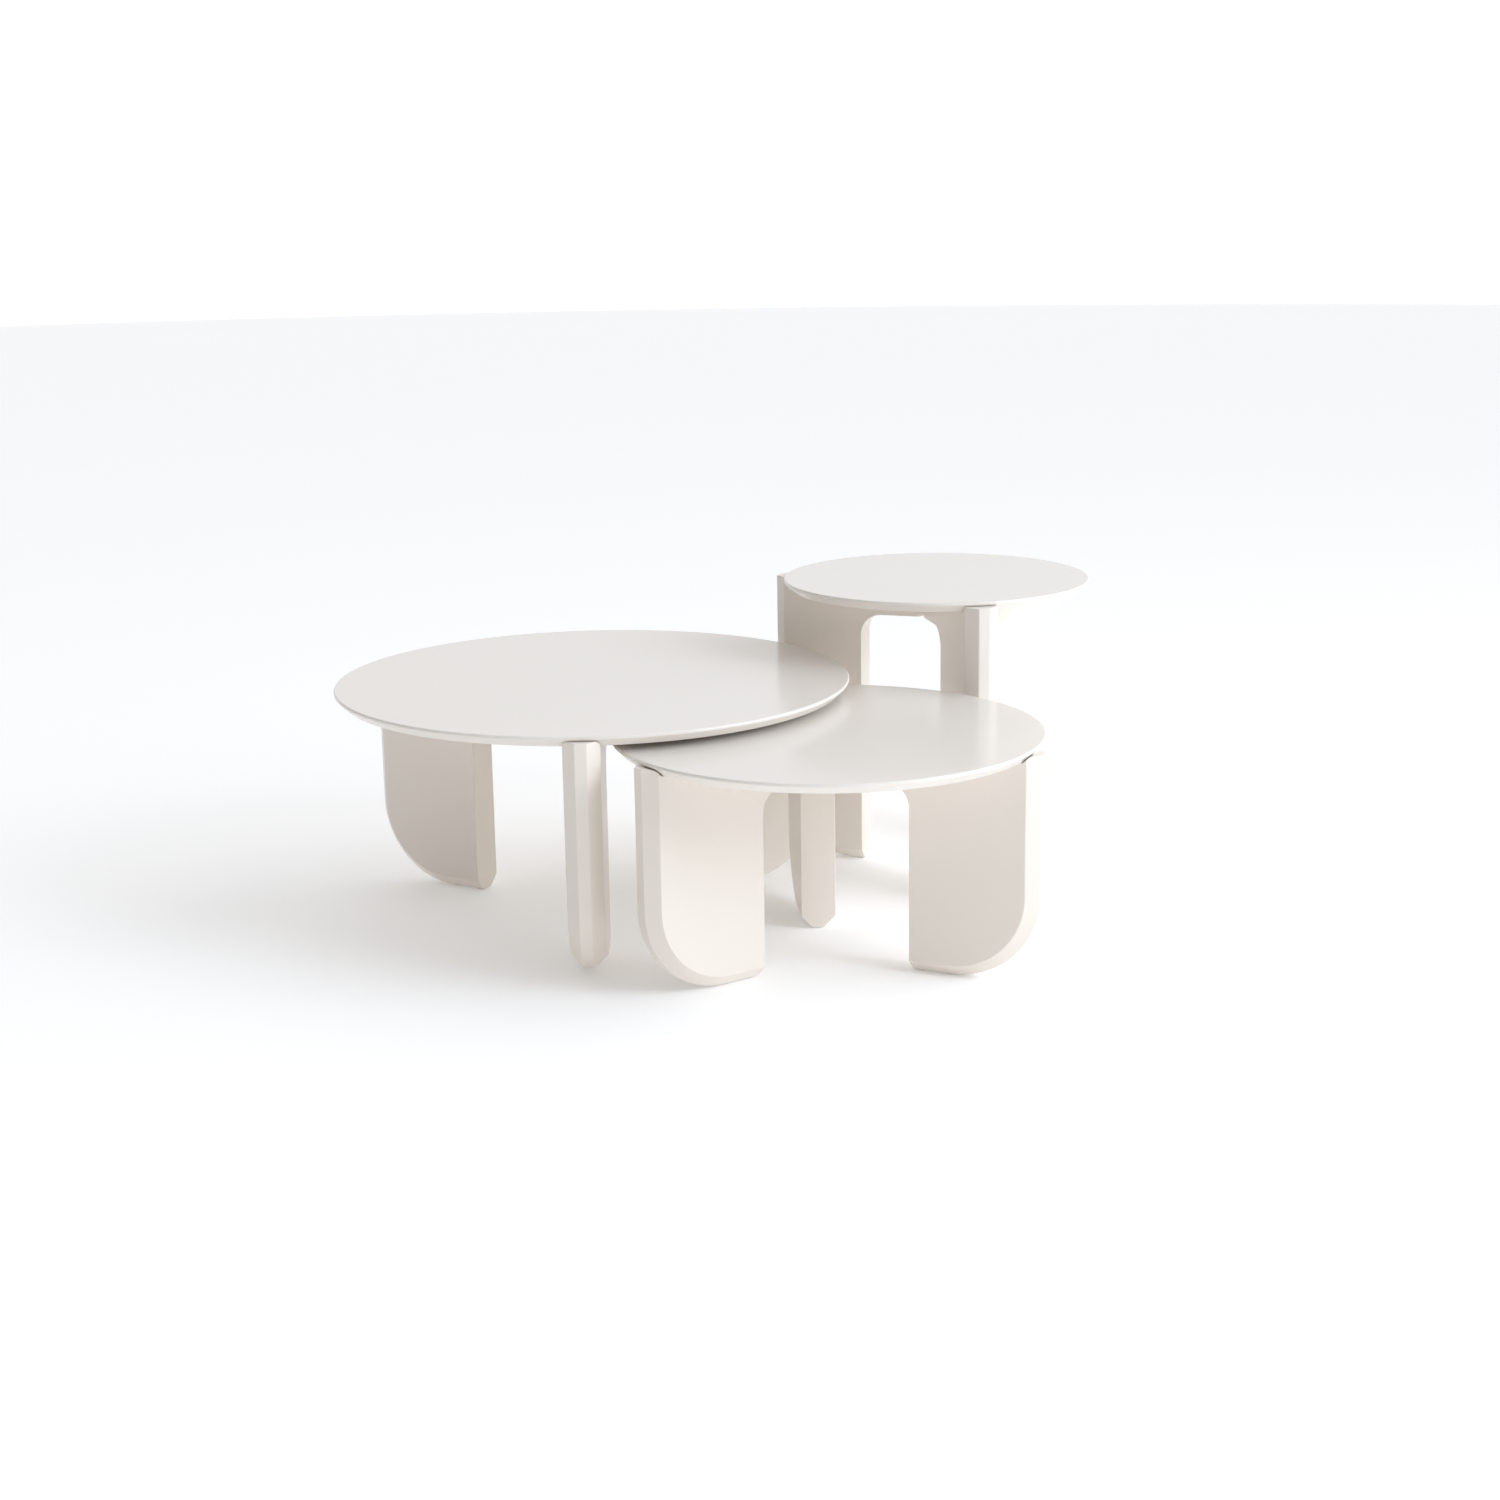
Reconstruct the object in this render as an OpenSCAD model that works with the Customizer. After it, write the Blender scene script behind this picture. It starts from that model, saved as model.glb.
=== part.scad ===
// Nesting tables: three round tables, each a bevelled disc carried by three inverted-L panel legs.
// The medium table slides under the large one and the tall small table stands over its edge.
// Millimetres, +Z up, floor at z = 0, origin under the middle of the whole group.

/* [Large table] */
// Diameter of the large top
large_d = 900; // [890:1:910]
// Height of the large top above the floor
large_h = 420; // [415:1:450]
// Depth of a large leg panel, from its outer edge to its inner edge
large_panel = 221; // [200:1:230]
// Direction of the first large leg, anticlockwise from +X
large_turn = 151; // [150:1:152]

/* [Medium table] */
// Diameter of the medium top
medium_d = 710; // [680:1:716]
// Height of the medium top above the floor
medium_h = 390; // [370:1:395]
// Depth of a medium leg panel
medium_panel = 217; // [200:1:225]
// Direction of the first medium leg
medium_turn = 215; // [213:1:217]
// Medium table's place, right of the large table's axis
medium_x = 402; // [398:1:410]
// Medium table's place, in front of the large table's axis
medium_y = 298; // [296:1:320]

/* [Small table] */
// Diameter of the small top
small_d = 562; // [556:1:568]
// Height of the small top above the floor
small_h = 550; // [530:1:600]
// Depth of a small leg panel
small_panel = 170; // [160:1:174]
// Direction of the first small leg
small_turn = 161.5; // [161:0.5:162.5]
// Small table's place, right of the large table's axis
small_x = 622; // [620:1:660]
// Small table's place, behind the large table's axis
small_y = 247; // [246:1:300]

/* [Tops] */
// Thickness of every top
top_t = 18; // [16:0.5:22]
// Height of the upright lip above the underside bevel
lip_h = 5; // [4:0.5:6]
// Rounding of the lip's upper edge
lip_round = 3; // [1:0.5:3.5]

/* [Legs] */
// Thickness of the leg board
leg_t = 60; // [54:3:63]
// How far the large and medium legs stand proud of the rim
overhang = 15; // [10:1:18]
// How far the small table's legs stand proud of the rim
small_overhang = 24; // [18:1:25]
// Radius of the leg's outer bottom corner
foot_r = 150; // [130:1:155]
// Radius under the rail, where it meets the panel
arch_r = 38; // [30:1:40]
// Height of the rail that runs to the middle
rail_h = 54; // [50:1:60]
// Shadow gap between the leg and the rim's bevel
rim_gap = 2.5; // [1.5:0.5:3]
// How far the leg's end stays below the top surface
lug_drop = 8; // [7:0.5:10]
// Gap between two neighbouring rail ends at the middle
mitre_gap = 14; // [8:1:16]

/* [Hardware] */
// Height of a floor glide under the foot
glide_h = 2; // [1.5:0.5:3]
// Diameter of a floor glide
glide_d = 16; // [12:1:18]
// Thickness of the steel centre plate
plate_t = 3; // [2:0.5:4]
// Radius of the steel centre plate
plate_r = 45; // [42:1:48]
// Length of a top bolt under its head
bolt_l = 45; // [43:1:47]

/* [Hidden] */
$fn = 96;
rim_fn = 240;
hardware_fn = 48;
eps = 1;
slip = 0.05;
bolt_r = 3;
bolt_hole_r = 3.3;
bolt_head_r = 5;
bolt_head_h = 6;
bolt_key = 5;
bolt_key_h = 3;
bolt_s = 58;
bolt_grip = 12;
bolt_margin = 1;
sink_r = 6.8;
washer_r = 6;
washer_t = 1.6;
insert_r = 4.5;
insert_h = 13;
insert_edge = 0.8;
insert_spare = 0.2;
dowel_r = 4;
dowel_l = 30;
dowel_in_top = 10;
dowel_edge = 40;
dowel_tip = 1;
dowel_spare = 0.5;
screw_s = 33;
screw_t = 14;
screw_r = 2;
screw_head_r = 4;
screw_head_h = 2.2;
screw_l = 25;
screw_slot = 0.9;
screw_slack = 0.2;
plate_hole_r = 9;
plate_slack = 0.3;
stem_r = 2.5;
stem_l = 16;
glide_edge = 0.6;
one_glide_below = 40;
glide_inset = 14;
glide_setback = 6;

bevel = top_t - lip_h;
chamfer = leg_t / 3;
flat_half = leg_t / 6;
half_t = leg_t / 2;
rail_tip = mitre_gap / 2 / sin(60);
insert_fit = insert_h + insert_spare;

// A table is [x, y, diameter, height, panel depth, direction of its first leg, overhang].
large = [0, 0, large_d, large_h, large_panel, large_turn, overhang];
medium = [medium_x, -medium_y, medium_d, medium_h, medium_panel, medium_turn, overhang];
small = [small_x, small_y, small_d, small_h, small_panel, small_turn, small_overhang];
tables = [large, medium, small];

function rim(t) = t[2] / 2;
function height(t) = t[3];
function underside(t) = height(t) - top_t;
function outer(t) = rim(t) + t[6];
function inner(t) = outer(t) - t[4];
function turn(t, i) = t[5] + 120 * i;
function rail_z(t) = underside(t) - rail_h;
function bolt_places(t) = [bolt_s, inner(t) - arch_r - bolt_head_r - bolt_margin];
function dowel_places(t) = [(bolt_places(t)[0] + bolt_places(t)[1]) / 2, rim(t) - dowel_edge];
function foot_end(t) = outer(t) - foot_r;
function glide_places(t) = foot_end(t) - inner(t) > one_glide_below
    ? [inner(t) + glide_inset, foot_end(t) - glide_setback]
    : [(inner(t) + foot_end(t)) / 2];

// Plan corners of a leg's outer end, which decide how wide the group is.
function end_corners(t) = [
    for (i = [0:2]) for (side = [-1, 1])
        for (p = [[outer(t), side * flat_half], [outer(t) - chamfer, side * half_t]])
            let (a = turn(t, i))
            [t[0] + p[0] * cos(a) - p[1] * sin(a), t[1] + p[0] * sin(a) + p[1] * cos(a)]
];
function reach(axis) = [
    for (t = tables) each concat([t[axis] - rim(t), t[axis] + rim(t)],
        [for (p = end_corners(t)) p[axis]])
];
function middle(v) = (min(v) + max(v)) / 2;
group_middle = [middle(reach(0)), middle(reach(1)), 0];

lacquer = [0.93, 0.91, 0.87];
leg_lacquer = [0.90, 0.87, 0.82];
zinc = [0.72, 0.73, 0.75];
brass = [0.80, 0.68, 0.38];
beech = [0.80, 0.66, 0.47];
nylon = [0.88, 0.87, 0.84];

// Frames: a table's own axis, and a leg's own plane with x outwards along the leg.
module at_table(t) {
    translate([t[0], t[1], 0] - group_middle) children();
}
module at_leg(t, i) {
    at_table(t) rotate([0, 0, turn(t, i)]) children();
}
module at_all_legs(t) {
    for (i = [0:2]) at_leg(t, i) children();
}
module in_leg_plane(thick) {
    rotate([90, 0, 0]) linear_extrude(thick, center = true) children();
}

// Half section of the top: flat underside, bevel, upright lip and rounded upper edge.
module top_section(t) {
    r = rim(t);
    polygon([
        [0, -top_t], [r - bevel, -top_t], [r, -lip_h],
        [r, -lip_round], [r - lip_round, -lip_round], [r - lip_round, 0], [0, 0]
    ]);
    intersection() {
        translate([r - lip_round, -lip_round]) circle(lip_round);
        translate([r - lip_round, -lip_round]) square(lip_round);
    }
}
module table_top(t) {
    color(lacquer) difference() {
        at_table(t) translate([0, 0, height(t)]) rotate_extrude($fn = rim_fn) top_section(t);
        at_all_legs(t) {
            for (s = bolt_places(t)) translate([s, 0, underside(t) - eps])
                cylinder(r = insert_r + slip, h = insert_fit + eps);
            for (s = dowel_places(t)) translate([s, 0, underside(t) - eps])
                cylinder(r = dowel_r + slip, h = dowel_in_top + dowel_spare + eps);
        }
    }
}

// Side view of the panel above its rounded foot, with the rail and its arch.
module leg_profile(t) {
    base = glide_h + foot_r;
    translate([inner(t), base]) square([foot_end(t) - inner(t), height(t) - lug_drop - base]);
    translate([0, rail_z(t)]) square([inner(t) + eps, top_t + rail_h - lug_drop]);
    translate([inner(t) - arch_r, rail_z(t) - arch_r]) difference() {
        square([arch_r + eps, arch_r + eps]);
        circle(arch_r);
    }
}
module leg_outer_strip(t) {
    base = glide_h + foot_r;
    translate([0, 0, base]) linear_extrude(height(t) - lug_drop - base) polygon([
        [foot_end(t), -half_t], [outer(t) - chamfer, -half_t], [outer(t), -flat_half],
        [outer(t), flat_half], [outer(t) - chamfer, half_t], [foot_end(t), half_t]
    ]);
}
module leg_corner(t) {
    translate([foot_end(t), 0, glide_h + foot_r]) rotate([90, 0, 0]) rotate([0, 0, -90])
        rotate_extrude(angle = 90, $fn = rim_fn) polygon([
            [0, -half_t], [foot_r - chamfer, -half_t], [foot_r, -flat_half],
            [foot_r, flat_half], [foot_r - chamfer, half_t], [0, half_t]
        ]);
}
module leg_foot_strip(t) {
    translate([inner(t), 0, glide_h]) rotate([90, 0, 90])
        linear_extrude(foot_end(t) - inner(t)) polygon([
            [-half_t, foot_r], [-half_t, chamfer], [-flat_half, 0],
            [flat_half, 0], [half_t, chamfer], [half_t, foot_r]
        ]);
}

// Plan of the rail's pointed end: two faces that leave a gap to each neighbour.
module mitre_plan(t) {
    back = leg_t / tan(60);
    far = outer(t) + eps;
    polygon([
        [rail_tip, 0], [rail_tip + back, leg_t], [far, leg_t],
        [far, -leg_t], [rail_tip + back, -leg_t]
    ]);
}
// Room for the top: its flat underside, then a line that follows the bevel at the shadow gap.
module rim_room(t) {
    shift = rim_gap * sqrt(2);
    r = rim(t);
    translate([0, 0, height(t)]) rotate_extrude($fn = rim_fn) polygon([
        [0, -top_t], [r - bevel + shift, -top_t],
        [r + rim_gap, rim_gap - lip_h - shift], [r + rim_gap, eps], [0, eps]
    ]);
}
module leg_holes(t) {
    shoulder = underside(t) + bolt_grip - bolt_l + washer_t;
    for (s = bolt_places(t)) translate([s, 0, 0]) {
        translate([0, 0, rail_z(t) - eps]) cylinder(r = bolt_hole_r, h = rail_h + 2 * eps);
        translate([0, 0, rail_z(t) - eps]) cylinder(r = sink_r, h = shoulder - rail_z(t) + eps);
    }
    for (s = dowel_places(t)) translate([s, 0, underside(t) - dowel_l + dowel_in_top - dowel_spare])
        cylinder(r = dowel_r + slip, h = dowel_l);
    for (side = [-1, 1]) translate([screw_s, side * screw_t, underside(t) - screw_l - eps])
        cylinder(r = screw_r + slip, h = screw_l);
    translate([0, 0, underside(t) - plate_t]) cylinder(r = plate_r + plate_slack, h = plate_t + eps);
    for (s = glide_places(t)) translate([s, 0, 0])
        cylinder(r = stem_r + slip, h = glide_h + stem_l + eps);
}
module leg(t, i) {
    color(leg_lacquer) at_leg(t, i) difference() {
        intersection() {
            union() {
                in_leg_plane(leg_t) leg_profile(t);
                leg_outer_strip(t);
                leg_corner(t);
                leg_foot_strip(t);
            }
            linear_extrude(height(t)) mitre_plan(t);
        }
        rim_room(t);
        leg_holes(t);
    }
}

// Steel plate let into the three rail ends, with countersunk holes.
module screw_places(t) {
    at_all_legs(t) for (side = [-1, 1])
        translate([screw_s, side * screw_t, underside(t)]) children();
}
module centre_plate(t) {
    color(zinc) difference() {
        at_table(t) translate([0, 0, underside(t) - plate_t]) cylinder(r = plate_r, h = plate_t);
        at_table(t) translate([0, 0, underside(t) - plate_t - eps])
            cylinder(r = plate_hole_r, h = plate_t + 2 * eps);
        screw_places(t) {
            translate([0, 0, -plate_t - eps]) cylinder(r = screw_r + screw_slack, h = plate_t + 2 * eps);
            translate([0, 0, -screw_head_h])
                cylinder(r1 = screw_r + screw_slack, r2 = screw_head_r + screw_slack, h = screw_head_h);
        }
    }
}
module plate_screws(t) {
    color(zinc) screw_places(t) difference() {
        rotate_extrude($fn = hardware_fn) polygon([
            [0, -screw_l], [screw_r, 2 * screw_r - screw_l], [screw_r, -screw_head_h],
            [screw_head_r, 0], [0, 0]
        ]);
        for (a = [0, 90]) rotate([0, 0, a]) translate([0, 0, -screw_slot / 2])
            cube([screw_head_r, screw_slot, screw_slot + slip], center = true);
    }
}

// Bolts come up through the rails into the inserts in the top.
module bolt_axes(t) {
    at_all_legs(t) for (s = bolt_places(t)) translate([s, 0, underside(t)]) children();
}
module bolts(t) {
    color(zinc) bolt_axes(t) translate([0, 0, bolt_grip - bolt_l]) difference() {
        union() {
            cylinder(r = bolt_r - slip, h = bolt_l, $fn = hardware_fn);
            translate([0, 0, -bolt_head_h]) cylinder(r = bolt_head_r, h = bolt_head_h, $fn = hardware_fn);
        }
        translate([0, 0, -bolt_head_h - eps])
            cylinder(d = bolt_key / cos(30), h = bolt_key_h + eps, $fn = 6);
    }
}
module washers(t) {
    color(zinc) bolt_axes(t) translate([0, 0, bolt_grip - bolt_l]) difference() {
        cylinder(r = washer_r, h = washer_t, $fn = hardware_fn);
        translate([0, 0, -eps]) cylinder(r = bolt_hole_r, h = washer_t + 2 * eps, $fn = hardware_fn);
    }
}
module inserts(t) {
    color(brass) bolt_axes(t) rotate_extrude($fn = hardware_fn) polygon([
        [bolt_r, 0], [insert_r, 0], [insert_r, insert_h - insert_edge],
        [insert_r - insert_edge, insert_h], [bolt_r, insert_h]
    ]);
}
module dowels(t) {
    color(beech) at_all_legs(t) for (s = dowel_places(t))
        translate([s, 0, underside(t) + dowel_in_top - dowel_l]) rotate_extrude($fn = hardware_fn) polygon([
            [0, 0], [dowel_r - dowel_tip, 0], [dowel_r, dowel_tip],
            [dowel_r, dowel_l - dowel_tip], [dowel_r - dowel_tip, dowel_l], [0, dowel_l]
        ]);
}
module glides(t) {
    color(nylon) at_all_legs(t) for (s = glide_places(t)) translate([s, 0, 0])
        rotate_extrude($fn = hardware_fn) polygon([
            [0, 0], [glide_d / 2 - glide_edge, 0], [glide_d / 2, glide_edge], [glide_d / 2, glide_h],
            [stem_r, glide_h], [stem_r, glide_h + stem_l - 2 * stem_r], [0, glide_h + stem_l]
        ]);
}

module large_top() table_top(large);
module large_leg_left() leg(large, 0);
module large_leg_front() leg(large, 1);
module large_leg_right() leg(large, 2);
module large_centre_plate() centre_plate(large);
module large_plate_screws() plate_screws(large);
module large_bolts() bolts(large);
module large_washers() washers(large);
module large_inserts() inserts(large);
module large_dowels() dowels(large);
module large_glides() glides(large);
module medium_top() table_top(medium);
module medium_leg_left() leg(medium, 0);
module medium_leg_right() leg(medium, 1);
module medium_leg_back() leg(medium, 2);
module medium_centre_plate() centre_plate(medium);
module medium_plate_screws() plate_screws(medium);
module medium_bolts() bolts(medium);
module medium_washers() washers(medium);
module medium_inserts() inserts(medium);
module medium_dowels() dowels(medium);
module medium_glides() glides(medium);
module small_top() table_top(small);
module small_leg_left() leg(small, 0);
module small_leg_front() leg(small, 1);
module small_leg_right() leg(small, 2);
module small_centre_plate() centre_plate(small);
module small_plate_screws() plate_screws(small);
module small_bolts() bolts(small);
module small_washers() washers(small);
module small_inserts() inserts(small);
module small_dowels() dowels(small);
module small_glides() glides(small);

large_top();
large_leg_left();
large_leg_front();
large_leg_right();
large_centre_plate();
large_plate_screws();
large_bolts();
large_washers();
large_inserts();
large_dowels();
large_glides();
medium_top();
medium_leg_left();
medium_leg_right();
medium_leg_back();
medium_centre_plate();
medium_plate_screws();
medium_bolts();
medium_washers();
medium_inserts();
medium_dowels();
medium_glides();
small_top();
small_leg_left();
small_leg_front();
small_leg_right();
small_centre_plate();
small_plate_screws();
small_bolts();
small_washers();
small_inserts();
small_dowels();
small_glides();
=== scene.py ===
import math
import bmesh
import bpy
from mathutils import Matrix, Vector


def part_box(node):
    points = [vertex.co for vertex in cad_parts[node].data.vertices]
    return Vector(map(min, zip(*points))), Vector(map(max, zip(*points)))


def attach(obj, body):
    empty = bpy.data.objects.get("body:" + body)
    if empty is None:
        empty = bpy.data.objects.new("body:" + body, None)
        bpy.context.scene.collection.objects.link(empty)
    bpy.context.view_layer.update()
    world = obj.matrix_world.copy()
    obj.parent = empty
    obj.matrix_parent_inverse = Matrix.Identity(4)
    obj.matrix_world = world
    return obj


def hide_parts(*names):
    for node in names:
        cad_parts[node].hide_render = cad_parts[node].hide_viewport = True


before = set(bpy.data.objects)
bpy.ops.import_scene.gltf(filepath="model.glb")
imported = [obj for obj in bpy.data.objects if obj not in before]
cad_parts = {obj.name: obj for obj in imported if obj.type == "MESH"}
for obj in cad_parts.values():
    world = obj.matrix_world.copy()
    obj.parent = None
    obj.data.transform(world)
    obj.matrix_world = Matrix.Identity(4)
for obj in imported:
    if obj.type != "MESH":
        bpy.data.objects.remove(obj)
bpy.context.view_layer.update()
scene = bpy.context.scene
scene.view_settings.view_transform = "Standard"
print("frame loaded")

# The three tables, and where each one's legs stand.
tables = {
    "large": {"body": "large_table", "legs": ("left", "front", "right")},
    "medium": {"body": "medium_table", "legs": ("left", "right", "back")},
    "small": {"body": "small_table", "legs": ("left", "front", "right")},
}

cameraSet = {
    "lens": 56.43,  # mm
    "sensor": 36,
    "height": 1.2719,  # metres from here on
    "inFront": 3.9827,
    "toTheRight": 0.0487,
    "tiltDown": 12.646,  # degrees
    "roll": -0.86,
    "shiftUp": -0.0291,
}


def makeCamera(p):
    data = bpy.data.cameras.new("camera")
    data.lens = p["lens"]
    data.sensor_width = p["sensor"]
    data.shift_y = p["shiftUp"]
    camera = bpy.data.objects.new("camera", data)
    scene.collection.objects.link(camera)
    place = Matrix.Translation((p["toTheRight"], -p["inFront"], p["height"]))
    tilt = Matrix.Rotation(math.radians(90 - p["tiltDown"]), 4, "X")
    roll = Matrix.Rotation(math.radians(p["roll"]), 4, "Z")
    camera.matrix_world = place @ tilt @ roll
    scene.camera = camera


makeCamera(cameraSet)


lacquerLook = {
    "topColour": (0.87, 0.822, 0.768),
    # the legs are the same lacquer as the tops; their warmer colour is painted shade, the warm light
    # bounced between the cream parts
    "legColourWithPaintedShade": (0.88, 0.812, 0.738),
    "topRoughness": 0.19,
    "legRoughness": 0.30,
    "roughnessSpread": 0.03,
    "shadeSpread": 0.015,  # how far the colour drifts over a panel
    "driftSize": 0.4,  # metres
    "peelSize": 0.004,
    "peelDepth": 0.000002,
}


metalLook = {
    "zinc_plate": {"colour": (0.58, 0.60, 0.62), "roughness": 0.36, "grain": 0.0015, "depth": 0.00002},
    "zinc_screws": {"colour": (0.66, 0.67, 0.68), "roughness": 0.28, "grain": 0.0008, "depth": 0.00001},
    "bolt_steel": {"colour": (0.60, 0.61, 0.62), "roughness": 0.30, "grain": 0.0008, "depth": 0.00001},
    "insert_brass": {"colour": (0.74, 0.56, 0.26), "roughness": 0.30, "grain": 0.0008, "depth": 0.00001},
}

brushing = {
    "detail": 3,
    "stretch": (1, 1, 0.15),  # the streaks run upwards
    "darkest": 0.82,  # share of the metal's colour
    "smoother": 0.06,
    "rougher": 0.1,
}

beechLook = {
    "colour": (0.62, 0.44, 0.26),
    "roughness": 0.6,
    "fibre": 0.0012,
    "detail": 4,
    "stretch": (1, 1, 0.06),  # the fibres run along the dowel
    "dark": (0.50, 0.33, 0.18),
    "light": (0.70, 0.52, 0.33),
    "smoothest": 0.55,
    "roughest": 0.72,
    "depth": 0.00005,
}

nylonLook = {
    "colour": (0.72, 0.70, 0.66),
    "roughness": 0.45,
    "grain": 0.0006,
    "detail": 2,
    "dark": (0.66, 0.64, 0.60),
    "light": (0.76, 0.74, 0.70),
    "smoothest": 0.4,
    "roughest": 0.55,
    "depth": 0.00002,
    "milky": 0.15,  # light that goes a little way in
    "milkyReach": (0.002, 0.002, 0.0018),
}


def newFinish(name, colour, roughness, metallic=0.0):
    mat = bpy.data.materials.new(name)
    mat.use_nodes = True
    shader = mat.node_tree.nodes["Principled BSDF"]
    shader.inputs["Base Color"].default_value = (*colour, 1)
    shader.inputs["Roughness"].default_value = roughness
    shader.inputs["Metallic"].default_value = metallic
    return mat, mat.node_tree, shader


def noise(tree, size, detail=2.0, stretch=(1, 1, 1)):
    coord = tree.nodes.new("ShaderNodeTexCoord")
    mapping = tree.nodes.new("ShaderNodeMapping")
    mapping.inputs["Scale"].default_value = stretch
    cloud = tree.nodes.new("ShaderNodeTexNoise")
    cloud.inputs["Scale"].default_value = 1 / size
    cloud.inputs["Detail"].default_value = detail
    tree.links.new(coord.outputs["Object"], mapping.inputs["Vector"])
    tree.links.new(mapping.outputs["Vector"], cloud.inputs["Vector"])
    return cloud.outputs["Fac"]


def colourBetween(tree, shader, factor, dark, light):
    ramp = tree.nodes.new("ShaderNodeValToRGB")
    ramp.color_ramp.elements[0].color = (*dark, 1)
    ramp.color_ramp.elements[1].color = (*light, 1)
    tree.links.new(factor, ramp.inputs["Fac"])
    tree.links.new(ramp.outputs["Color"], shader.inputs["Base Color"])


def roughnessBetween(tree, shader, factor, low, high):
    spread = tree.nodes.new("ShaderNodeMapRange")
    spread.inputs["To Min"].default_value = low
    spread.inputs["To Max"].default_value = high
    tree.links.new(factor, spread.inputs["Value"])
    tree.links.new(spread.outputs["Result"], shader.inputs["Roughness"])


def relief(tree, shader, factor, depth):
    bump = tree.nodes.new("ShaderNodeBump")
    bump.inputs["Strength"].default_value = 1
    bump.inputs["Distance"].default_value = depth
    tree.links.new(factor, bump.inputs["Height"])
    tree.links.new(bump.outputs["Normal"], shader.inputs["Normal"])


def shaded(colour, share):
    return tuple(c * share for c in colour)


def satinLacquer(name, colour, roughness, p=lacquerLook):
    mat, tree, shader = newFinish(name, colour, roughness)
    drift = noise(tree, p["driftSize"], 0)
    colourBetween(tree, shader, drift, shaded(colour, 1 - p["shadeSpread"]), colour)
    half = p["roughnessSpread"] / 2
    roughnessBetween(tree, shader, drift, roughness - half, roughness + half)
    relief(tree, shader, noise(tree, p["peelSize"], 0), p["peelDepth"])
    return mat


def brushedMetal(name, p, brush=brushing):
    mat, tree, shader = newFinish(name, p["colour"], p["roughness"], 1.0)
    streaks = noise(tree, p["grain"], brush["detail"], brush["stretch"])
    colourBetween(tree, shader, streaks, shaded(p["colour"], brush["darkest"]), p["colour"])
    smoothest = p["roughness"] - brush["smoother"]
    roughest = p["roughness"] + brush["rougher"]
    roughnessBetween(tree, shader, streaks, smoothest, roughest)
    relief(tree, shader, streaks, p["depth"])
    return mat


def beechWood(name, p=beechLook):
    mat, tree, shader = newFinish(name, p["colour"], p["roughness"])
    fibres = noise(tree, p["fibre"], p["detail"], p["stretch"])
    colourBetween(tree, shader, fibres, p["dark"], p["light"])
    roughnessBetween(tree, shader, fibres, p["smoothest"], p["roughest"])
    relief(tree, shader, fibres, p["depth"])
    return mat


def mouldedNylon(name, p=nylonLook):
    mat, tree, shader = newFinish(name, p["colour"], p["roughness"])
    grain = noise(tree, p["grain"], p["detail"])
    colourBetween(tree, shader, grain, p["dark"], p["light"])
    roughnessBetween(tree, shader, grain, p["smoothest"], p["roughest"])
    relief(tree, shader, grain, p["depth"])
    shader.inputs["Subsurface Weight"].default_value = p["milky"]
    shader.inputs["Subsurface Radius"].default_value = p["milkyReach"]
    return mat


finishes = {
    "top_lacquer": satinLacquer("top_lacquer", lacquerLook["topColour"], lacquerLook["topRoughness"]),
    # the legs' material is the tops' lacquer with painted warm shade in its colour
    "leg_lacquer": satinLacquer("leg_lacquer", lacquerLook["legColourWithPaintedShade"], lacquerLook["legRoughness"]),
    "zinc_plate": brushedMetal("zinc_plate", metalLook["zinc_plate"]),
    "zinc_screws": brushedMetal("zinc_screws", metalLook["zinc_screws"]),
    "bolt_steel": brushedMetal("bolt_steel", metalLook["bolt_steel"]),
    "insert_brass": brushedMetal("insert_brass", metalLook["insert_brass"]),
    "dowel_beech": beechWood("dowel_beech"),
    "glide_nylon": mouldedNylon("glide_nylon"),
}
print("finishes mixed")

weld = 0.000001  # metres; points nearer than this become one


def eased(corners, steps=4):  # (x, z, radius) corners become a line with round corners
    line = []
    for i, (x, z, radius) in enumerate(corners):
        here = Vector((x, z))
        if radius == 0 or i in (0, len(corners) - 1):
            line.append(here)
            continue
        back = (Vector(corners[i - 1][:2]) - here).normalized()
        ahead = (Vector(corners[i + 1][:2]) - here).normalized()
        half = back.angle(ahead) / 2
        centre = here + (back + ahead).normalized() * radius / math.sin(half)
        start = here + back * radius / math.tan(half) - centre
        end = here + ahead * radius / math.tan(half) - centre
        for k in range(steps + 1):
            line.append(centre + start.slerp(end, k / steps).normalized() * radius)
    return line


def lathe(bm, line, segments, centre=(0, 0, 0)):  # turns a line about a vertical axis
    rings = []
    for r, z in line:
        ring = []
        for k in range(segments):
            a = math.tau * k / segments
            x = centre[0] + r * math.cos(a)
            y = centre[1] + r * math.sin(a)
            ring.append(bm.verts.new((x, y, centre[2] + z)))
        rings.append(ring)
    for low, high in zip(rings, rings[1:]):
        for k in range(segments):
            n = (k + 1) % segments
            bm.faces.new((low[k], low[n], high[n], high[k]))
    bm.faces.new(list(reversed(rings[0])))
    bm.faces.new(rings[-1])


def meshPiece(name, bm):
    bmesh.ops.remove_doubles(bm, verts=bm.verts, dist=weld)
    bmesh.ops.recalc_face_normals(bm, faces=bm.faces)
    mesh = bpy.data.meshes.new(name)
    bm.to_mesh(mesh)
    bm.free()
    piece = bpy.data.objects.new(name, mesh)
    scene.collection.objects.link(piece)
    return piece


def settle(piece):  # the modifiers become the mesh
    shape = bpy.context.evaluated_depsgraph_get()
    mesh = bpy.data.meshes.new_from_object(piece.evaluated_get(shape), depsgraph=shape)
    piece.modifiers.clear()
    piece.data = mesh
    mesh.name = piece.name


def easeEdges(piece, width, steps=3, angle=25):
    bevel = piece.modifiers.new("ease", "BEVEL")
    bevel.width = width
    bevel.segments = steps
    bevel.limit_method = "ANGLE"
    bevel.angle_limit = math.radians(angle)
    bevel.use_clamp_overlap = False
    bevel.miter_outer = "MITER_ARC"
    settle(piece)


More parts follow.
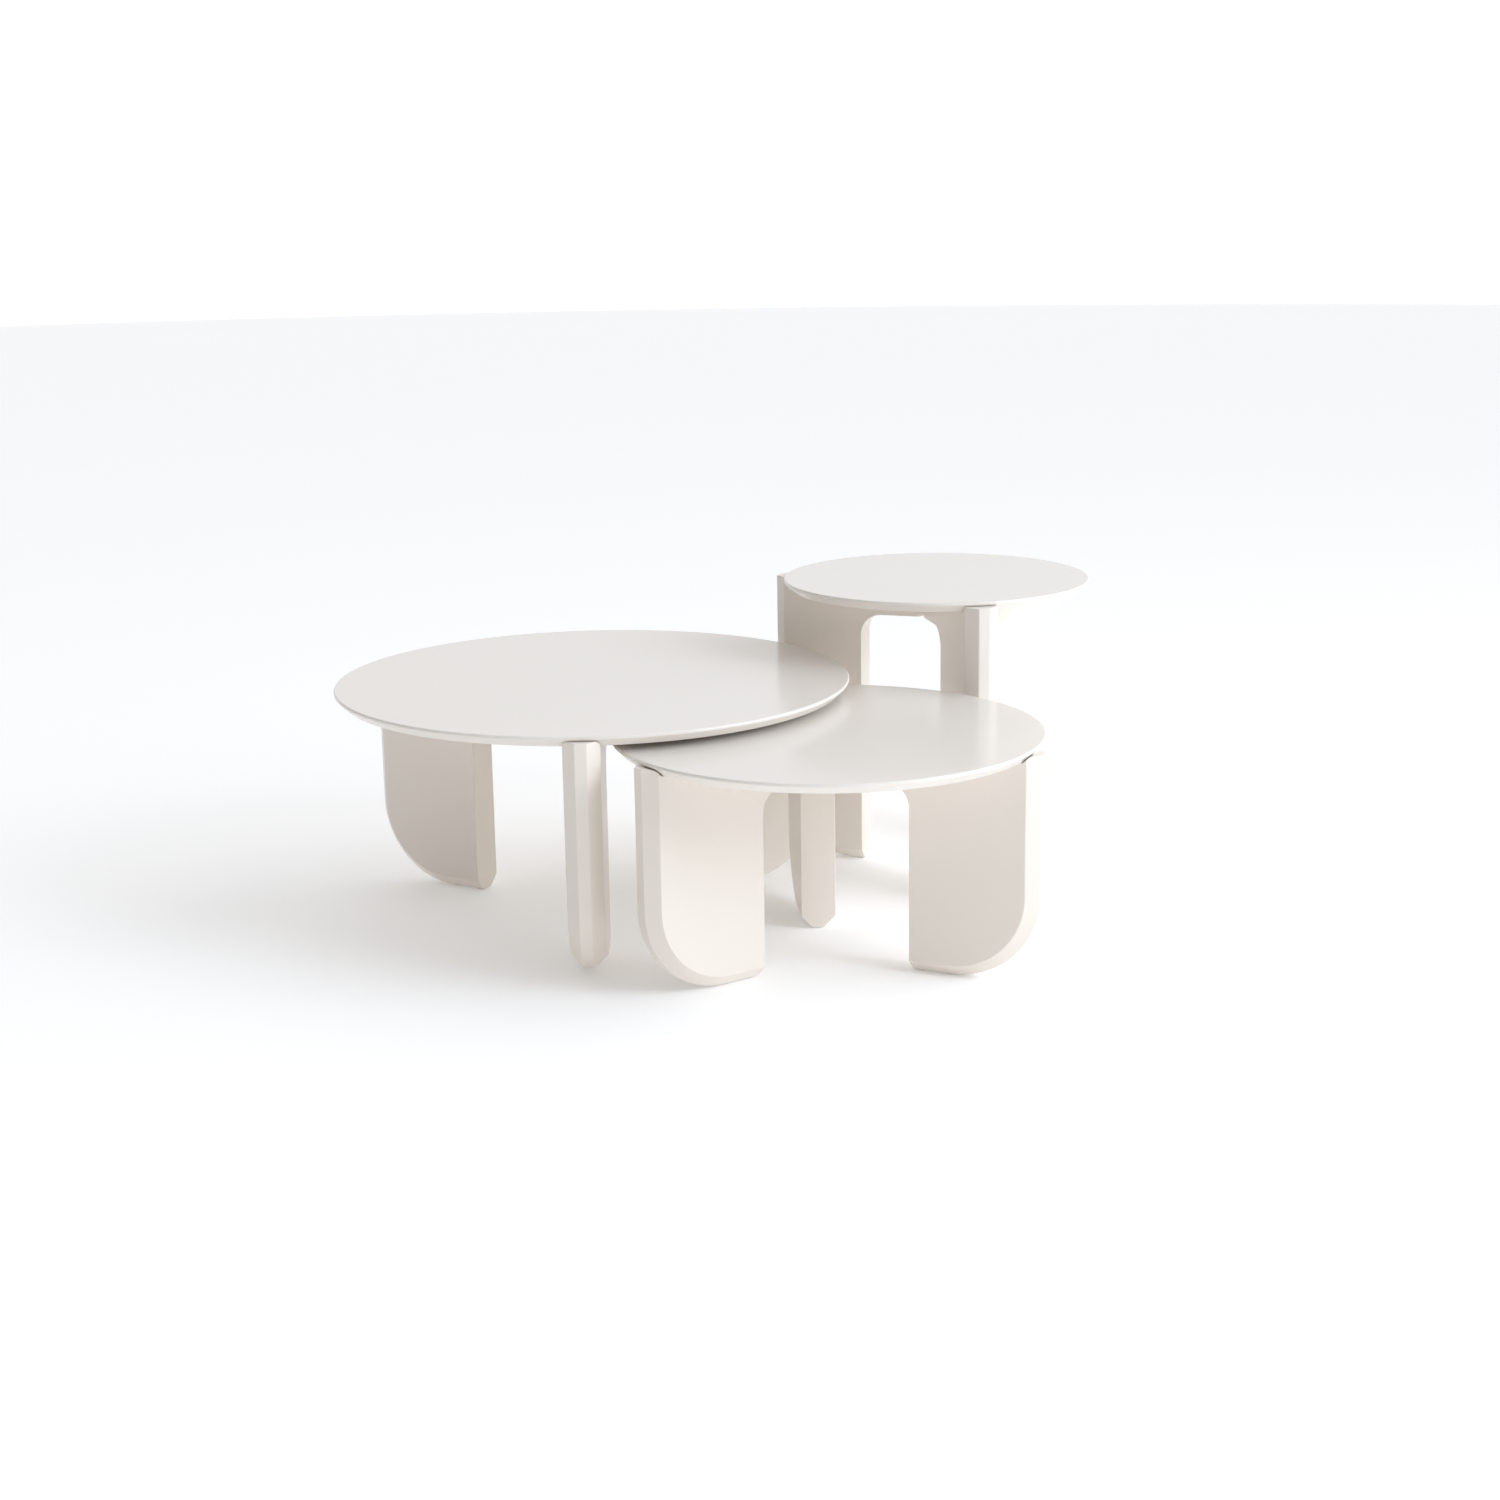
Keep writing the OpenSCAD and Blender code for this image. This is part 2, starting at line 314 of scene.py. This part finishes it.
def drill(piece, cutters, sides=40):
    bm = bmesh.new()
    for line, place in cutters:
        lathe(bm, line, sides, place)
    bits = meshPiece("bits", bm)
    cut = piece.modifiers.new("drill", "BOOLEAN")
    cut.operation = "DIFFERENCE"
    cut.solver = "EXACT"
    cut.object = bits
    settle(piece)
    bpy.data.objects.remove(bits)


def smooth(piece, angle=30):
    mesh = piece.data
    mesh.shade_smooth()
    mesh.set_sharp_from_angle(angle=math.radians(angle))
    weighted = piece.modifiers.new("flat faces", "WEIGHTED_NORMAL")
    weighted.keep_sharp = True
    weighted.weight = 50
    settle(piece)


def finish(piece, slotName, body):
    piece.data.materials.clear()
    piece.data.materials.append(finishes[slotName])
    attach(piece, body)


def tableFacts(name):
    low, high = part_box(name + "_top")
    plateLow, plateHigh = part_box(name + "_centre_plate")
    axis = (plateLow + plateHigh) / 2
    axis.z = 0
    return {
        "axis": axis,
        "rim": max((v.co - axis).xy.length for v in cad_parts[name + "_top"].data.vertices),
        "high": high.z,
        "under": low.z,
    }


def spots(node, apart=0.018):  # plan centre of each piece of hardware in a node
    groups = []
    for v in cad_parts[node].data.vertices:
        p = v.co.xy
        near = [g for g in groups if (g[0] - p).length < apart]
        if near:
            near[0].append(p.copy())
        else:
            groups.append([p.copy()])
    places = []
    for g in groups:
        xs = [p.x for p in g]
        ys = [p.y for p in g]
        places.append(Vector(((min(xs) + max(xs)) / 2, (min(ys) + max(ys)) / 2, 0)))
    return places


def legFacts(node, axis):  # a leg's own sizes, along its direction from the table's axis
    hair = 0.00001
    points = [v.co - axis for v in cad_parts[node].data.vertices]
    reach = max(p.xy.length for p in points)
    ends = [p for p in points if p.xy.length > reach - hair]
    turn = math.atan2(sum(p.y for p in ends), sum(p.x for p in ends))
    level = Matrix.Rotation(-turn, 3, "Z")
    points = [level @ p for p in points]
    outer = max(p.x for p in points)
    foot = min(p.z for p in points)
    inner = min(p.x for p in points if p.z < foot + hair)
    tip = min(p.x for p in points)
    railLow = min(p.z for p in points if p.x < tip + hair)
    facts = {
        "turn": turn,
        "outer": outer,
        "half": max(p.y for p in points),
        "flat": max(p.y for p in points if p.x > outer - hair),
        "foot": foot,
        "footRound": outer - max(p.x for p in points if p.z < foot + hair),
        "inner": inner,
        "tip": tip,
        "railLow": railLow,
        "archRound": railLow - max(p.z for p in points if abs(p.x - inner) < hair and p.z < railLow),
        "high": max(p.z for p in points),
    }
    return facts


topShape = {
    "lip": 0.005,  # upright part of the edge
    "upperRound": 0.003,
    "lowerRound": 0.0016,
    "underRound": 0.0015,  # where the bevel meets the flat underside
    "roundSteps": 6,
    "segments": 360,
    "flatShare": 0.9,  # the flat discs reach this far out to the rim
}

holeSizes = {  # radii, each a little wider than what goes in
    "insert": 0.00455,
    "insertDepth": 0.0132,
    "dowel": 0.00405,
    "dowelDepth": 0.0105,
    "boltHead": 0.0068,
    "bolt": 0.0033,
    "screw": 0.00205,
    "glideStem": 0.00255,
    "plateSlack": 0.0003,
    "endSlack": 0.0005,
    "past": 0.001,  # how far a cutter runs out of the wood
}


def makeTop(name, t, p=topShape):
    bevel = t["high"] - t["under"] - p["lip"]
    flat = p["flatShare"] * t["rim"]
    corners = [
        (flat, t["under"], 0),
        (t["rim"] - bevel, t["under"], p["underRound"]),
        (t["rim"], t["high"] - p["lip"], p["lowerRound"]),
        (t["rim"], t["high"], p["upperRound"]),
        (flat, t["high"], 0),
    ]
    bm = bmesh.new()
    lathe(bm, eased(corners, p["roundSteps"]), p["segments"])
    piece = meshPiece(name + "_table_top", bm)
    piece.location = t["axis"]
    return piece


def holesInTop(name, t, p=holeSizes):
    deep = {
        "inserts": (p["insert"], p["insertDepth"]),
        "dowels": (p["dowel"], p["dowelDepth"]),
    }
    cutters = []
    for node, (r, depth) in deep.items():
        line = [(r, -p["past"]), (r, depth)]
        for place in spots(f"{name}_{node}"):
            cutters.append((line, place - t["axis"] + Vector((0, 0, t["under"]))))
    return cutters


legShape = {
    "rimGap": 0.0025,  # shadow gap round the top's bevel
    "ease": 0.0012,  # softness of every edge
    "cornerSteps": 30,
    "archSteps": 14,
}


def roomForTop(t, p=legShape):  # radius that the legs leave free, level with the top's underside
    bevel = t["high"] - t["under"] - topShape["lip"]
    return t["rim"] - bevel + p["rimGap"] * math.sqrt(2)


def legSlice(f, t, across, p=legShape):  # outline of the leg at one distance from its middle plane
    clear = roomForTop(t)
    cut = max(0, abs(across) - f["flat"])
    outer = f["outer"] - cut
    foot = f["foot"] + cut
    centreX = f["outer"] - f["footRound"]
    centreZ = f["foot"] + f["footRound"]
    footRound = f["footRound"] - cut
    slopeAtOuter = t["under"] + math.hypot(outer, across) - clear
    high = min(f["high"], slopeAtOuter)
    ledge = math.sqrt((clear + high - t["under"]) ** 2 - across ** 2)
    tip = f["tip"] + abs(across) / math.sqrt(3)
    archX = f["inner"] - f["archRound"]
    archZ = f["railLow"] - f["archRound"]
    line = [(tip, f["railLow"])]
    for k in range(p["archSteps"] + 1):
        a = math.pi / 2 * (1 - k / p["archSteps"])
        line.append((archX + f["archRound"] * math.cos(a), archZ + f["archRound"] * math.sin(a)))
    line.append((f["inner"], foot))
    for k in range(p["cornerSteps"] + 1):
        a = math.pi / 2 * k / p["cornerSteps"]
        line.append((centreX + footRound * math.sin(a), centreZ - footRound * math.cos(a)))
    line.append((outer, high))
    line.append((ledge, high))
    line.append((math.sqrt(clear ** 2 - across ** 2), t["under"]))
    line.append((tip, t["under"]))
    return [(x, across, z) for x, z in line]


def slicePlaces(f, t, halvings=40):
    ledge = roomForTop(t) + f["high"] - t["under"]  # where the ledge's inner edge meets the chamfer
    low, high = f["flat"], f["half"]
    for _ in range(halvings):
        middle = (low + high) / 2
        if math.hypot(f["outer"] + f["flat"] - middle, middle) > ledge:
            low = middle
        else:
            high = middle
    half = [f["flat"] / 2, f["flat"], (f["flat"] + low) / 2, low, f["half"]]
    return [-a for a in reversed(half)] + [0] + half


def makeLeg(name, f, t, p=legShape):
    bm = bmesh.new()
    slices = []
    for across in slicePlaces(f, t):
        slices.append([bm.verts.new(v) for v in legSlice(f, t, across)])
    count = len(slices[0])
    for near, far in zip(slices, slices[1:]):
        for k in range(count):
            n = (k + 1) % count
            bm.faces.new((near[k], near[n], far[n], far[k]))
    bm.faces.new(slices[0])
    bm.faces.new(slices[-1])
    bmesh.ops.remove_doubles(bm, verts=bm.verts, dist=weld)
    bmesh.ops.dissolve_degenerate(bm, edges=bm.edges, dist=weld)
    piece = meshPiece(name, bm)
    easeEdges(piece, p["ease"])
    return piece


def holesInLeg(name, f, t, p=holeSizes):
    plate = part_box(name + "_centre_plate")
    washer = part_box(name + "_washers")
    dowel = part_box(name + "_dowels")
    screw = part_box(name + "_plate_screws")
    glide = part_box(name + "_glides")
    past = p["past"]
    slack = p["endSlack"]
    above = t["under"] + past
    lines = {
        "bolts": [
            (p["boltHead"], f["railLow"] - past),
            (p["boltHead"], washer[1].z),
            (p["bolt"], washer[1].z),
            (p["bolt"], above),
        ],
        "dowels": [(p["dowel"], dowel[0].z - slack), (p["dowel"], above)],
        "plate_screws": [(p["screw"], screw[0].z - 2 * slack), (p["screw"], above)],
        "glides": [(p["glideStem"], f["foot"] - past), (p["glideStem"], glide[1].z + 2 * slack)],
    }
    toLeg = Matrix.Rotation(-f["turn"], 4, "Z") @ Matrix.Translation(-t["axis"])
    cutters = []
    for node, line in lines.items():
        for place in spots(f"{name}_{node}"):
            local = toLeg @ place
            if local.x > 0 and abs(local.y) < f["half"]:
                cutters.append((line, local))
    plateRound = (plate[1].x - plate[0].x) / 2 + p["plateSlack"]
    cutters.append(([(plateRound, plate[0].z), (plateRound, above)], Vector((0, 0, 0))))
    return cutters


for name, table in tables.items():
    facts = tableFacts(name)
    top = makeTop(name, facts)
    drill(top, holesInTop(name, facts))
    smooth(top)
    finish(top, "top_lacquer", table["body"])
    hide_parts(name + "_top")
    for side in table["legs"]:
        node = f"{name}_leg_{side}"
        own = legFacts(node, facts["axis"])
        leg = makeLeg(f"{name}_table_leg_{side}", own, facts)
        drill(leg, holesInLeg(name, own, facts))
        smooth(leg)
        leg.matrix_world = Matrix.Translation(facts["axis"]) @ Matrix.Rotation(own["turn"], 4, "Z")
        finish(leg, "leg_lacquer", table["body"])
        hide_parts(node)
    print(f"{name} table made")

hardware = {
    "centre_plate": "zinc_plate",
    "plate_screws": "zinc_screws",
    "bolts": "bolt_steel",
    "washers": "zinc_screws",
    "inserts": "insert_brass",
    "dowels": "dowel_beech",
    "glides": "glide_nylon",
}
for name in tables:
    for part, slotName in hardware.items():
        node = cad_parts[f"{name}_{part}"]
        for own in node.material_slots:
            own.material = finishes[slotName]
print("hardware finished")


roomSet = {
    "floor": 40.0,  # metres across
    "floorSides": 128,
    "floorColour": (0.97, 0.97, 0.97),
    "floorRoughness": 0.9,
    "floorShine": 0.1,
    "floorGlow": 0.17,  # keeps the shadows on it pale
    "ambient": 0.04,  # light from everywhere
    "wall": 1.05,  # how bright the white wall is, low down all the way round
    "wallEven": 5,  # degrees above the floor
    "wallGone": 8,
}

# Soft panels of light far out round the tables: where each one is, in degrees anticlockwise
# from the right and above the floor, how far out it is even, and where it has faded away.
panels = [
    {"from": 90, "height": 12, "even": 24, "gone": 50, "colour": (0.85, 0.85, 0.85)},
    {"from": 0, "height": 15, "even": 0, "gone": 55, "colour": (1.78, 1.82, 1.88)},
    {"from": 0, "height": 90, "even": 0, "gone": 65, "colour": (0.90, 0.90, 0.91)},
]

lamps = {
    "key": {
        "from": -29,
        "height": 29,
        "away": 5.0,  # metres
        "across": 2.2,
        "strength": 1.0,
        "colour": (0.88, 1.0, 1.14),
    },
    "fill": {
        "from": -68,
        "height": 12,
        "away": 2.8,
        "across": 1.4,
        "strength": 0.08,
        "colour": (1.08, 1.0, 0.88),
    },
}


def makeFloor(p):
    mat, _, shader = newFinish("floor_white", p["floorColour"], p["floorRoughness"])
    shader.inputs["Specular IOR Level"].default_value = p["floorShine"]
    shader.inputs["Emission Color"].default_value = (1, 1, 1, 1)
    shader.inputs["Emission Strength"].default_value = p["floorGlow"]
    bm = bmesh.new()
    radius = p["floor"] / 2
    bmesh.ops.create_circle(bm, cap_ends=True, segments=p["floorSides"], radius=radius)
    floor = meshPiece("floor", bm)
    floor.data.materials.append(mat)


def towards(p):
    across = math.radians(p["from"])
    up = math.radians(p["height"])
    return (math.cos(across) * math.cos(up), math.sin(across) * math.cos(up), math.sin(up))


def makeWorld(panels, p):
    world = bpy.data.worlds.new("studio")
    world.use_nodes = True
    tree = world.node_tree
    coord = tree.nodes.new("ShaderNodeTexCoord")
    total = None
    for panel in panels:
        dot = tree.nodes.new("ShaderNodeVectorMath")
        dot.operation = "DOT_PRODUCT"
        dot.inputs[1].default_value = towards(panel)
        fade = tree.nodes.new("ShaderNodeMapRange")
        fade.interpolation_type = "SMOOTHSTEP"
        fade.inputs["From Min"].default_value = math.cos(math.radians(panel["gone"]))
        fade.inputs["From Max"].default_value = math.cos(math.radians(panel["even"]))
        shine = tree.nodes.new("ShaderNodeVectorMath")
        shine.operation = "MULTIPLY_ADD"
        shine.inputs[0].default_value = panel["colour"]
        shine.inputs[2].default_value = (p["ambient"], p["ambient"], p["ambient"])
        tree.links.new(coord.outputs["Generated"], dot.inputs[0])
        tree.links.new(dot.outputs["Value"], fade.inputs["Value"])
        tree.links.new(fade.outputs["Result"], shine.inputs[1])
        if total:
            tree.links.new(total, shine.inputs[2])
        total = shine.outputs["Vector"]
    split = tree.nodes.new("ShaderNodeSeparateXYZ")
    wall = tree.nodes.new("ShaderNodeMapRange")
    wall.interpolation_type = "SMOOTHSTEP"
    wall.inputs["From Min"].default_value = math.sin(math.radians(p["wallEven"]))
    wall.inputs["From Max"].default_value = math.sin(math.radians(p["wallGone"]))
    wall.inputs["To Min"].default_value = p["wall"]
    wall.inputs["To Max"].default_value = 0
    brighter = tree.nodes.new("ShaderNodeVectorMath")
    brighter.operation = "MAXIMUM"
    tree.links.new(coord.outputs["Generated"], split.inputs["Vector"])
    tree.links.new(split.outputs["Z"], wall.inputs["Value"])
    tree.links.new(total, brighter.inputs[0])
    tree.links.new(wall.outputs["Result"], brighter.inputs[1])
    tree.links.new(brighter.outputs["Vector"], tree.nodes["Background"].inputs["Color"])
    scene.world = world


def makeLamp(name, p):
    data = bpy.data.lights.new(name, "AREA")
    data.shape = "DISK"
    data.size = p["across"]
    data.energy = p["strength"] * math.pi * p["away"] ** 2
    data.color = p["colour"]
    lamp = bpy.data.objects.new(name, data)
    turn = Matrix.Rotation(math.radians(90 + p["from"]), 4, "Z")
    tilt = Matrix.Rotation(math.radians(90 - p["height"]), 4, "X")
    lamp.matrix_world = Matrix.Translation(Vector(towards(p)) * p["away"]) @ turn @ tilt
    lamp.visible_camera = False
    scene.collection.objects.link(lamp)


makeFloor(roomSet)
makeWorld(panels, roomSet)
for name, p in lamps.items():
    makeLamp(name, p)
print("room lit")
